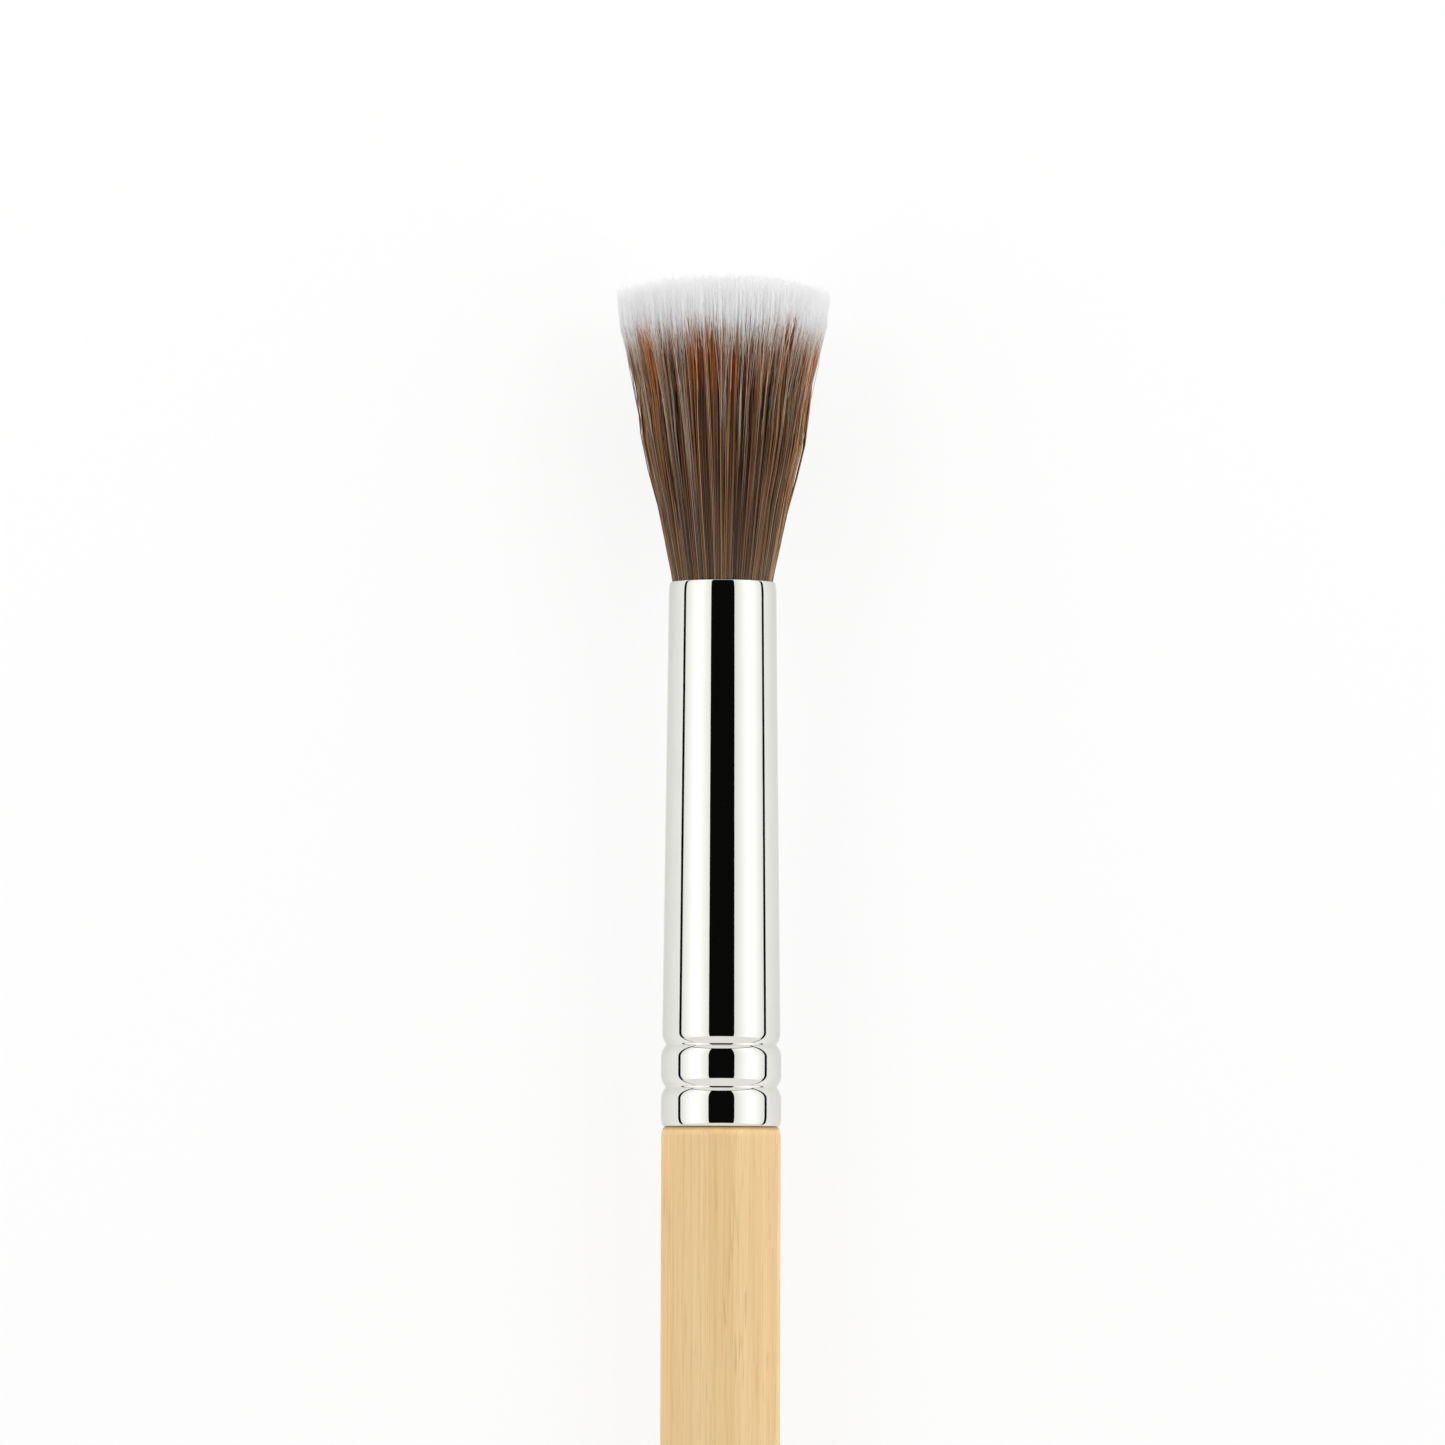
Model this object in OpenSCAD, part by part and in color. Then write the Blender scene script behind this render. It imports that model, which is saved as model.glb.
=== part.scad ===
// A two-fibre stippling brush: a turned bamboo handle, a crimped metal ferrule and a flared, flat head
// in which short brown fibres stand among longer white ones.
// It lies along Y as it would come to rest, head towards +Y, on its grip's taper and a flat on its head.

/* [Handle] */
// Diameter of the straight grip
handle_d = 11; // [10.6:0.1:12]
// Length of wood that shows below the ferrule
handle_len = 105; // [85:1:130]
// Length of the straight grip, from the ferrule to the start of the taper
grip_len = 48; // [20:1:70]
// Diameter where the taper meets the rounded butt
butt_d = 7.6; // [6:0.1:9]
// Length of the rounded butt
butt_len = 2.4; // [1:0.1:3.4]
// Height of the rounded shoulder under the ferrule
shoulder_h = 0.85; // [0.4:0.05:1]
// Radius of the rounded shoulder
shoulder_r = 1.6; // [1.4:0.1:2.4]
// Length of the tenon inside the ferrule
tenon_len = 24; // [12:1:30]
// Chamfer on the end of the tenon
tenon_chamfer = 0.8; // [0.2:0.1:2]

/* [Ferrule] */
// Length of the ferrule
ferrule_len = 50; // [46:1:65]
// Outer diameter of the beads between the crimp grooves
crimp_d = 11.05; // [11:0.05:11.4]
// Outer diameter just above the crimps
body_d = 10.84; // [10.4:0.02:11]
// Outer diameter where the lip starts to curl in
neck_d = 9.92; // [9.7:0.02:10.2]
// Outer diameter of the lip's edge
mouth_d = 9.6; // [9.3:0.02:9.7]
// Length of the lip that curls in
lip_len = 1.5; // [0.8:0.1:3]
// Thickness of the metal
ferrule_wall = 0.28; // [0.2:0.02:0.4]
// Height over which the foot is rounded in towards the wood
foot_h = 0.9; // [0.3:0.1:1.2]
// Thickness of the metal's edge at the foot
foot_edge = 0.08; // [0.04:0.02:0.16]
// Height of the lower crimp groove above the ferrule's foot
lower_groove_z = 3.6; // [2.4:0.1:4.2]
// Height of the upper crimp groove above the ferrule's foot
upper_groove_z = 7.5; // [6.6:0.1:9]
// Depth of the crimp grooves
groove_depth = 0.38; // [0.1:0.01:0.5]
// Width of the crimp grooves
groove_w = 2.2; // [1.4:0.1:2.6]
// Radius of the bottom of the crimp grooves
groove_bottom_r = 0.2; // [0.1:0.05:0.4]

/* [Fibre head] */
// Length of the white fibres above the ferrule, in the middle of the head
white_len = 27.7; // [26:0.1:32]
// Mean length of the brown fibres above the ferrule
brown_len = 22.6; // [16:0.1:24]
// How far single brown locks end above or below their mean length
brown_scatter = 1.4; // [0:0.1:2]
// How far single white locks end below their full length
white_scatter = 0.4; // [0:0.1:0.5]
// Widest diameter of the head
head_d = 19.9; // [15:0.1:24]
// Height of the head's top above its widest place
rim_h = 2.3; // [2:0.1:3]
// How much lower the domed top is at the rim than in the middle
dome_h = 1.3; // [0.4:0.1:1.4]
// Length of the taper at the tip of a brown lock
brown_taper = 4.5; // [2:0.1:6]
// How deep the butt ends are set below the ferrule's mouth
root_depth = 12; // [8:0.5:14]
// Thickness of the brown layer of the packed roots
brown_root_h = 3; // [2:0.1:4]
// How far the packed roots end below the ferrule's mouth
root_sink = 0.6; // [0.3:0.1:1.5]
// Thickness of the epoxy plug under the butt ends
plug_h = 3; // [1:0.1:5]

/* [Locks] */
// Rings of locks inside the outer ring
inner_rings = 7; // [4:1:7]
// Locks in the outer ring
outer_locks = 64; // [32:1:66]
// Share of the locks that are white
white_share = 0.4; // [0.2:0.05:0.6]
// Gap between neighbouring locks in the ferrule's mouth
lock_gap = 0.1; // [0.08:0.01:0.16]
// How many times wider a white lock grows above the brown tips
splay = 1.6; // [1:0.1:1.7]
// Share of its width that a white lock keeps at its tip
white_tip = 0.6; // [0.1:0.05:0.8]
// Share of its width that a brown lock keeps at its tip
brown_tip = 0.2; // [0.1:0.05:0.3]
// Which of the random layouts is used
layout_seed = 11; // [1:1:40]

/* [Fits] */
// Gap between the ferrule's foot and the wood's shoulder
seam_gap = 0.08; // [0.01:0.01:0.12]
// Glue gap between the tenon and the ferrule
glue_gap = 0.08; // [0.04:0.01:0.12]
// Gap between the ferrule's bore and what is set in it
bore_gap = 0.05; // [0.02:0.01:0.08]
// Gap round each white lock where it passes through the brown roots
pass_gap = 0.03; // [0.01:0.005:0.035]
// Gap between the layers set in the ferrule
layer_gap = 0.05; // [0.02:0.01:0.1]

/* [Rest] */
// Depth of the small flat that the head's rim is pressed to
flat_depth = 0.25; // [0.1:0.05:0.5]

/* [Hidden] */
$fn = 96;

// Colours
bamboo = [0.90, 0.78, 0.57];
polished_metal = [0.80, 0.81, 0.80];
amber = [0.78, 0.60, 0.30];
brown = [0.42, 0.27, 0.16];
white = [0.90, 0.90, 0.90];

// Heights along the brush, from the butt
foot_z = handle_len + seam_gap;
mouth_z = foot_z + ferrule_len;
top_z = mouth_z + white_len;
root_z = mouth_z - root_sink;
butts_z = mouth_z - root_depth;

// Steps in each curve of an outline
curve_steps = 16;
bead_steps = 5;
bottom_steps = 3;
foot_steps = 6;

// The ferrule's outer radius at height z above its foot, without the crimp grooves
crimps_end = upper_groove_z + groove_w / 2;
lip_start = ferrule_len - lip_len;
function between(z, z1, d1, z2, d2) = (d1 + (d2 - d1) * (z - z1) / (z2 - z1)) / 2;
function tube_r(z) =
    z < crimps_end - groove_w ? crimp_d / 2
    : z < crimps_end ? between(z, crimps_end - groove_w, crimp_d, crimps_end, body_d)
    : z < lip_start ? between(z, crimps_end, body_d, lip_start, neck_d)
    : (mouth_d + (neck_d - mouth_d) * sqrt(max(0, 1 - pow((z - lip_start) / lip_len, 2)))) / 2;

// A crimp groove's outline runs from each bead in an arc, which meets a tighter arc at the bottom
groove_slope = 2 * atan(2 * groove_depth / groove_w);
bead_r = groove_w / 2 / sin(groove_slope) - groove_bottom_r;
bottom_w = groove_bottom_r * sin(groove_slope);

// How far a crimp groove, set at its own height, reaches into the metal at height z
function groove(z, at) =
    let (off = abs(z - at), from_bead = groove_w / 2 - off)
    from_bead <= 0 ? 0
    : off < bottom_w ? groove_depth - groove_bottom_r + sqrt(pow(groove_bottom_r, 2) - pow(off, 2))
    : bead_r - sqrt(pow(bead_r, 2) - pow(from_bead, 2));
function grooves(z) = groove(z, lower_groove_z) + groove(z, upper_groove_z);

// The rounding of the ferrule's foot, which thins the metal to its edge
function foot(z) =
    z < foot_h ? (ferrule_wall - foot_edge) * (1 - sqrt(1 - pow(1 - z / foot_h, 2))) : 0;

function outer_r(z) = tube_r(z) - grooves(z) - foot(z);
function bore_r(z) = tube_r(z) - grooves(z) - ferrule_wall;

// Heights at which the crimps' outline has a point, none of them above the limit
half_groove = concat(
    [for (i = [0 : bead_steps]) groove_w / 2 - bead_r * sin(groove_slope * i / bead_steps)],
    [for (i = [1 : bottom_steps]) groove_bottom_r * sin(groove_slope * (1 - i / bottom_steps))]
);
whole_groove = concat(
    [for (off = half_groove) -off],
    [for (i = [len(half_groove) - 2 : -1 : 0]) half_groove[i]]
);
function crimp_heights(limit) = [
    for (at = [lower_groove_z, upper_groove_z], off = whole_groove)
        if (at + off < limit) at + off
];

// Heights at which the lip's outline has a point, closer together near its edge
lip_heights = [for (i = [0 : curve_steps]) ferrule_len - lip_len * (1 - sin(90 * i / curve_steps))];
foot_heights = [for (i = [0 : foot_steps]) foot_h * (1 - cos(90 * i / foot_steps))];

// The handle's outline from the butt up, as [radius, height]
butt = [
    for (i = [0 : curve_steps])
        let (a = 90 * i / curve_steps)
        [butt_d / 2 * sin(a), butt_len * (1 - cos(a))]
];
taper_len = handle_len - grip_len - butt_len;
taper_drop = (handle_d - butt_d) / 2;
taper_r = (pow(taper_len, 2) + pow(taper_drop, 2)) / (2 * taper_drop);
taper = [
    for (i = [1 : curve_steps])
        let (down = taper_len * (1 - i / curve_steps))
        [handle_d / 2 - taper_r + sqrt(pow(taper_r, 2) - pow(down, 2)), handle_len - grip_len - down]
];
shoulder = [
    for (i = [0 : curve_steps / 2])
        let (up = shoulder_h * 2 * i / curve_steps)
        [handle_d / 2 - shoulder_r + sqrt(pow(shoulder_r, 2) - pow(up, 2)), handle_len - shoulder_h + up]
];
tenon_top = tenon_len - tenon_chamfer;
tenon = [
    for (z = concat([-seam_gap], crimp_heights(tenon_top), [tenon_top]))
        [bore_r(max(z, 0)) - glue_gap, foot_z + z]
];
tenon_end = [bore_r(tenon_len) - glue_gap - tenon_chamfer, foot_z + tenon_len];

module handle() {
    color(bamboo)
        laid_down()
            rotate_extrude()
                polygon(concat(butt, taper, shoulder, tenon, [tenon_end, [0, foot_z + tenon_len]]));
}

// A drawn tube: the bore follows the outside, so the crimps stand in it as beads and key the tenon
module ferrule() {
    heights = concat(foot_heights, crimp_heights(ferrule_len), lip_heights);
    outside = [for (z = heights) [outer_r(z), z]];
    inside = [for (z = concat([0], crimp_heights(ferrule_len), lip_heights)) [bore_r(z), z]];
    color(polished_metal)
        laid_down()
            translate([0, 0, foot_z])
                rotate_extrude()
                    polygon(concat(outside, [for (i = [len(inside) - 1 : -1 : 0]) inside[i]]));
}

// Cured glue that closes the ferrule under the butt ends
module epoxy_plug() {
    high = butts_z - layer_gap;
    low = high - plug_h;
    low_r = bore_r(low - foot_z) - bore_gap;
    high_r = bore_r(high - foot_z) - bore_gap;
    color(amber)
        laid_down()
            translate([0, 0, low])
                cylinder(h = plug_h, r1 = low_r, r2 = high_r);
}

// The head is one pattern of locks, which fills the ferrule's mouth and widens from there to the rim.
// The rings are counted outwards from the lock in the middle.
rings = inner_rings + 1;
root_r = bore_r(ferrule_len) - bore_gap;
pitch = (root_r + lock_gap / 2) / (rings + 0.5);
half_across = (pitch - lock_gap) / 2;
rim_z = top_z - rim_h;
spread = (head_d / 2 / (rings * pitch + splay * half_across) - 1) / (rim_z - mouth_z);
function flare(z) = 1 + spread * (z - mouth_z);

// Locks as [ring, angle round the axis, half width across the ring, half width along it]
function ring_count(ring) = ring == 0 ? 1 : ring == rings ? outer_locks : 6 * ring;
function half_along(ring) =
    ring == 0 ? half_across : ring * pitch * sin(180 / ring_count(ring)) - lock_gap / 2;
turns = rands(0, 360, rings + 1, layout_seed);
locks = [
    for (ring = [0 : rings], i = [0 : ring_count(ring) - 1])
        [ring, turns[ring] + 360 * i / ring_count(ring), half_across, half_along(ring)]
];
lengths = rands(-1, 1, len(locks), layout_seed + 1);

// Steps of the golden ratio spread the white locks evenly among the brown
golden = (sqrt(5) - 1) / 2;
function is_white(i) = i * golden - floor(i * golden) < white_share;
white_locks = [for (i = [0 : len(locks) - 1]) if (is_white(i)) i];
brown_locks = [for (i = [0 : len(locks) - 1]) if (!is_white(i)) i];

// One stretch of a lock: a bundle with four edges that leans as the flare does.
// Each section is [height, share of the lock's full width]. The outline never curves inwards.
module stretch(place, sections, extra = 0) {
    x = place[0] * pitch;
    lean = spread * x;
    heights = [for (s = sections) s[0]];
    widths = [for (s = sections) s[1] * flare(s[0])];
    rotate(place[1])
        multmatrix([[1, 0, lean, x - lean * mouth_z], [0, 1, 0, 0], [0, 0, 1, 0]])
            scale([place[2] + extra, place[3] + extra, 1])
                hull()
                    for (i = [1 : len(sections) - 1])
                        translate([0, 0, heights[i - 1]])
                            frustum(heights[i] - heights[i - 1], widths[i - 1], widths[i]);
}

module frustum(height, low_w, high_w) {
    cylinder(h = height, r1 = low_w, r2 = high_w, $fn = 4);
}

// Fibres packed into one mass inside the ferrule
module packed_roots(low, high) {
    translate([0, 0, low])
        cylinder(h = high - low, r = root_r, $fn = 64);
}

white_roots_z = root_z - brown_root_h - layer_gap;
splay_z = mouth_z + brown_len + brown_scatter - brown_taper;

// How far a white lock's stem and its wider end run into each other, and the end's width where it starts
stem_lap = 0.9;
start_share = 0.9;

// The part of a white lock that stands among the brown ones
module white_stem(i, extra = 0) {
    stretch(locks[i], [[white_roots_z - layer_gap, 1], [splay_z + stem_lap, 1]], extra);
}

// The rings end lower from the middle outwards, which domes the top
module white_end(i) {
    drop = dome_h * pow(locks[i][0] / rings, 2) + white_scatter * (1 + lengths[i]) / 2;
    start = [splay_z - stem_lap, start_share];
    stretch(locks[i], [start, [rim_z, splay], [top_z - drop, splay * white_tip]]);
}

module brown_lock(i) {
    end_z = mouth_z + brown_len + brown_scatter * lengths[i];
    stretch(locks[i], [[root_z - layer_gap, 1], [end_z - brown_taper, 1], [end_z, brown_tip]]);
}

module brown_fibres() {
    color(brown)
        laid_down() {
            difference() {
                packed_roots(root_z - brown_root_h, root_z);
                for (i = white_locks)
                    white_stem(i, pass_gap);
            }
            for (i = brown_locks)
                brown_lock(i);
        }
}

module white_fibres() {
    color(white)
        difference() {
            laid_down() {
                packed_roots(butts_z, white_roots_z);
                for (i = white_locks) {
                    white_stem(i);
                    white_end(i);
                }
            }
            below_floor();
        }
}

// How the brush lies: the floor touches its outline at the rim's flat and at the lowest point of the handle
rest_r = head_d / 2 - flat_depth;
tilt = min([for (p = concat(butt, taper, [shoulder[0]])) atan2(rest_r - p[0], rim_z - p[1])]);
axis_h = rest_r * cos(tilt) - rim_z * sin(tilt);

module laid_down() {
    translate([0, -top_z / 2 * cos(tilt), axis_h])
        rotate([tilt - 90, 0, 0])
            children();
}

// Space under the floor, which the head's rim is flattened by
module below_floor() {
    translate([-head_d, 0, -head_d])
        cube([2 * head_d, top_z, head_d]);
}

handle();
ferrule();
epoxy_plug();
brown_fibres();
white_fibres();
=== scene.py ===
"""A two-fibre stippling brush on a pale floor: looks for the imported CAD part."""
import math
import bpy
import numpy as np
from mathutils import Matrix, Vector


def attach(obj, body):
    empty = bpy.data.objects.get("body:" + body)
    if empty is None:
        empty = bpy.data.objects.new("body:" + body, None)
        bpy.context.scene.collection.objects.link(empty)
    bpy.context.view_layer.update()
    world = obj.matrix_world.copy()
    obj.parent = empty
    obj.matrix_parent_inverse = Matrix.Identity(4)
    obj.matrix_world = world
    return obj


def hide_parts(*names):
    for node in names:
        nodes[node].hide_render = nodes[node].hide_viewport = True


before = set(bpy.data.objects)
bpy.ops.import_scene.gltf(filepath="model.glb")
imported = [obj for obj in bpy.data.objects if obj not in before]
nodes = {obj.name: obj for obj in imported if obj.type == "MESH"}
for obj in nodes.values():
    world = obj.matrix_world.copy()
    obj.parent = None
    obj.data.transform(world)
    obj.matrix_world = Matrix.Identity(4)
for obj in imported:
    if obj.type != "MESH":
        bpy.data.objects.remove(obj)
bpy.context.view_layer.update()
MM = 0.001

# How the brush lies, as in the CAD part: its axis starts at the butt and rises towards the head
TILT = math.radians(1.75681)
BUTT_Y, BUTT_Z = -91.3470 * MM, 4.1624 * MM
LAY = Matrix.Translation((0, BUTT_Y, BUTT_Z)) @ Matrix.Rotation(TILT, 4, "X")

# Sizes of the CAD part, in millimetres
FOOT_S = 105.08
FERRULE_LEN = 50.0
MOUTH_S = FOOT_S + FERRULE_LEN
CRIMP_R, BODY_R, NECK_R, MOUTH_R = 5.525, 5.42, 4.96, 4.8
LIP_LEN = 1.5
WALL = 0.28
FOOT_H, FOOT_EDGE = 0.9, 0.08
GROOVES = (3.6, 7.5)
GROOVE_DEPTH, GROOVE_W, GROOVE_BOTTOM_R = 0.38, 2.2, 0.2
WHITE_LEN = 27.7
HEAD_R = 9.95


def srgb(text):
    """A colour written as six hexadecimal digits, as the linear RGBA that a shader takes."""
    parts = [int(text[i : i + 2], 16) / 255 for i in (0, 2, 4)]
    return [c / 12.92 if c <= 0.04045 else ((c + 0.055) / 1.055) ** 2.4 for c in parts] + [1.0]


class Nodes:
    """The node tree of a new material or world, with short calls to add to it."""

    def __init__(self, owner):
        self.owner = owner
        owner.use_nodes = True
        self.tree = owner.node_tree
        self.tree.nodes.clear()

    def add(self, kind, inputs=(), **settings):
        node = self.tree.nodes.new("ShaderNode" + kind)
        for key, value in settings.items():
            setattr(node, key, value)
        for key, value in dict(inputs).items():
            self.put(value, node.inputs[key])
        return node

    def put(self, value, socket):
        if isinstance(value, bpy.types.NodeSocket):
            self.tree.links.new(value, socket)
        elif isinstance(value, bpy.types.Node):
            self.tree.links.new(value.outputs[0], socket)
        else:
            socket.default_value = value

    def math(self, operation, a, b=0.0):
        return self.add("Math", {0: a, 1: b}, operation=operation).outputs[0]

    def spread(self, value, low, high, to_low=0.0, to_high=1.0, smooth=False):
        node = self.add("MapRange", {0: value, 1: low, 2: high, 3: to_low, 4: to_high})
        if smooth:
            node.interpolation_type = "SMOOTHSTEP"
        return node.outputs[0]

    def mix(self, factor, a, b):
        """A mix of two colours. The node has its colour sockets after those for other kinds of value."""
        return self.add("Mix", {0: factor, 6: a, 7: b}, data_type="RGBA").outputs[2]

    def ramp(self, value, stops):
        node = self.add("ValToRGB", {0: value})
        elements = node.color_ramp.elements
        while len(elements) < len(stops):
            elements.new(0.5)
        for element, (place, colour) in zip(elements, stops):
            element.position = place
            element.color = colour
        return node.outputs[0]

    def noise(self, vector, scale, detail=3.0, roughness=0.5):
        inputs = {"Vector": vector, "Scale": scale, "Detail": detail, "Roughness": roughness}
        return self.add("TexNoise", inputs).outputs[0]

    def finish(self, shader, output="OutputMaterial"):
        """Links the shader to the tree's output, and returns the material or world that has the tree."""
        self.put(shader, self.add(output).inputs["Surface"])
        return self.owner


def material_nodes(name):
    return Nodes(bpy.data.materials.new(name))


def brush_coordinates(n, scale=(1, 1, 1)):
    """Object coordinates along the brush: x across, y from the butt towards the head, z up; in metres."""
    place = n.add("TexCoord").outputs["Object"]
    turned = n.add("Mapping", {"Vector": place, "Location": (0, BUTT_Y, BUTT_Z), "Rotation": (TILT, 0, 0)})
    turned.vector_type = "TEXTURE"
    return n.add("Mapping", {"Vector": turned, "Scale": scale}).outputs[0]


def object_from(name, vertices, faces, material, smooth=True):
    mesh = bpy.data.meshes.new(name)
    mesh.from_pydata(vertices, [], faces)
    mesh.materials.append(material)
    mesh.polygons.foreach_set("use_smooth", [smooth] * len(mesh.polygons))
    obj = bpy.data.objects.new(name, mesh)
    bpy.context.scene.collection.objects.link(obj)
    return obj


# Camera: it looks down on the brush from above the grip, a little from the left, and is aimed at the
# picture's centre
CAMERA_S, AIM_S = 98.0, 142.2
CAMERA_AWAY = 850.0
FROM_LEFT, ROLL = math.radians(3.75), math.radians(-0.18)
AIM_X = 0.02
PX_PER_MM, PICTURE_PX = 10.9, 1445
SENSOR_MM = 36.0


def make_camera():
    data = bpy.data.cameras.new("camera")
    left, high = -math.sin(FROM_LEFT), math.cos(FROM_LEFT)
    eye = LAY @ (Vector((CAMERA_AWAY * left, CAMERA_S, CAMERA_AWAY * high)) * MM)
    target = LAY @ (Vector((AIM_X, AIM_S, 0)) * MM)
    back = (eye - target).normalized()
    along = LAY.to_3x3() @ Vector((math.sin(ROLL) * high, math.cos(ROLL), -math.sin(ROLL) * left))
    right = along.cross(back).normalized()
    up = back.cross(right)
    aim = math.atan((AIM_S - CAMERA_S) / CAMERA_AWAY)
    data.sensor_width = SENSOR_MM
    data.lens = SENSOR_MM * PX_PER_MM * CAMERA_AWAY * math.cos(aim) / PICTURE_PX
    data.clip_start, data.clip_end = 0.01, 20
    camera = bpy.data.objects.new("camera", data)
    camera.matrix_world = Matrix.Translation(eye) @ Matrix((right, up, back)).transposed().to_4x4()
    bpy.context.scene.collection.objects.link(camera)
    bpy.context.scene.camera = camera


# Studio: two curved soft boxes along the brush with a dark slot between them, through which the camera looks,
# a narrow dark gap between each soft box and the pale table, and a head light, which is a soft box low beyond
# the head. Angles are in degrees from straight above, and those of the head light from level.
BOX_AWAY = 0.5
SLOT_FROM, SLOT_TO, BOX_TO, GAP_TO = -27.6, 21.3, 87.0, 90.5
ARC_STEP = 4
TABLE_GAP_FROM, TABLE_GAP_Z = 0.14, 0.0001
TOWARDS_BUTT, TOWARDS_HEAD, BORDER = 27.0, 50.0, 2.5
STUDIO_Y = 0.03
BOX_LIGHT = 2.08
HEAD_LIGHT, HEAD_LIGHT_FROM, HEAD_LIGHT_TO, HEAD_LIGHT_W = 1.7, 4.0, 35.0, 0.7
BOX_MIDDLE, BOX_HALF = 55.5, 31.5
SEEN_MIDDLE, SEEN_EDGE = 1.38, 0.93
ROOM_LIGHT = 0.15
DARK = 0.0036
PALE = srgb("f5f5f1")
WHITE = (1, 1, 1, 1)

# Floor: how far it reaches, and the share of plain white in what reflections and the camera see of it. The
# camera sees more of it, near the brush by the first share and beyond the white floor's radius by the second.
FLOOR_HALF = 3.0
LIT_FLOOR_R, WHITE_FLOOR_R = 0.16, 0.42
FLOOR_WHITE, CAMERA_MORE_NEAR, CAMERA_MORE_FAR = 0.44, 0.42, 0.56


def light_path_background(n):
    """1 for the rays that show the background: the camera's, and those that metal and glass send on."""
    path = n.add("LightPath")
    seen = n.math("MAXIMUM", path.outputs["Is Camera Ray"], path.outputs["Is Glossy Ray"])
    return n.math("MAXIMUM", seen, path.outputs["Is Transmission Ray"])


def glow(name, colour, strength):
    n = material_nodes(name)
    return n.finish(n.add("Emission", {"Color": colour, "Strength": strength}))


def soft_box_seen():
    """The soft boxes as reflections show them: brightest along their middle."""
    n = material_nodes("soft_box_seen")
    place = n.add("SeparateXYZ", {"Vector": n.add("TexCoord").outputs["Object"]})
    turn = n.math("ARCTAN2", n.math("ABSOLUTE", place.outputs["X"]), place.outputs["Z"])
    off = n.math("ABSOLUTE", n.math("SUBTRACT", turn, math.radians(BOX_MIDDLE)))
    strength = n.spread(off, 0.0, math.radians(BOX_HALF), SEEN_MIDDLE, SEEN_EDGE)
    return n.finish(n.add("Emission", {"Color": (1, 1, 0.99, 1), "Strength": strength}))


def hidden_stage(name, vertices, faces, material, lights, mirrored):
    """A studio piece that the camera doesn't see. It lights diffuse surfaces, or shows in reflections."""
    obj = object_from(name, vertices, faces, material)
    obj.visible_camera = False
    obj.visible_shadow = False
    obj.visible_diffuse = lights
    obj.visible_transmission = lights
    obj.visible_glossy = mirrored


def strip_faces(steps):
    """The faces of a strip whose points come in pairs, one on each of its long edges."""
    return [(2 * i, 2 * i + 1, 2 * i + 3, 2 * i + 2) for i in range(steps)]


def arc_sheet(name, from_deg, to_deg, y_low, y_high, material, lights=False, mirrored=True):
    """Part of a cylinder round the brush."""
    steps = max(2, int(abs(to_deg - from_deg) / ARC_STEP))
    vertices = []
    for i in range(steps + 1):
        a = math.radians(from_deg + (to_deg - from_deg) * i / steps)
        for y in (y_low, y_high):
            vertices.append((BOX_AWAY * math.sin(a), y, BOX_AWAY * math.cos(a)))
    hidden_stage(name, vertices, strip_faces(steps), material, lights, mirrored)


def head_light():
    """A soft box beyond the head, which shines down along the fibres from their tips."""
    steps = 8
    vertices = []
    for i in range(steps + 1):
        a = math.radians(HEAD_LIGHT_FROM + (HEAD_LIGHT_TO - HEAD_LIGHT_FROM) * i / steps)
        for x in (-HEAD_LIGHT_W / 2, HEAD_LIGHT_W / 2):
            vertices.append((x, STUDIO_Y + BOX_AWAY * math.cos(a), BOX_AWAY * math.sin(a)))
    light = glow("head_light", WHITE, HEAD_LIGHT)
    hidden_stage("head_light", vertices, strip_faces(steps), light, True, False)


def make_studio():
    low = STUDIO_Y - BOX_AWAY * math.tan(math.radians(TOWARDS_BUTT))
    high = STUDIO_Y + BOX_AWAY * math.tan(math.radians(TOWARDS_HEAD))
    high_border = STUDIO_Y + BOX_AWAY * math.tan(math.radians(TOWARDS_HEAD + BORDER))
    light = glow("soft_box_light", WHITE, BOX_LIGHT)
    seen = soft_box_seen()
    dark = glow("dark_card", (1, 0.98, 0.94, 1), DARK)
    for side, start, name in ((-1, SLOT_FROM, "left"), (1, SLOT_TO, "right")):
        arc_sheet(f"soft_box_{name}", start, side * BOX_TO, low, high, light, True, False)
        arc_sheet(f"soft_box_seen_{name}", start, side * BOX_TO, low, high, seen)
        arc_sheet(f"gap_{name}", side * BOX_TO, side * GAP_TO, low, high_border, dark)
        near, far = side * TABLE_GAP_FROM, side * BOX_AWAY
        strip = [(x, y, TABLE_GAP_Z) for x, y in ((near, low), (far, low), (far, high), (near, high))]
        hidden_stage(f"table_gap_{name}", strip, [(0, 1, 2, 3)], dark, False, True)
    arc_sheet("slot", SLOT_FROM, SLOT_TO, low, high, dark)
    head_light()
    arc_sheet("border_head", -BOX_TO, BOX_TO, high, high_border, dark)


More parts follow.
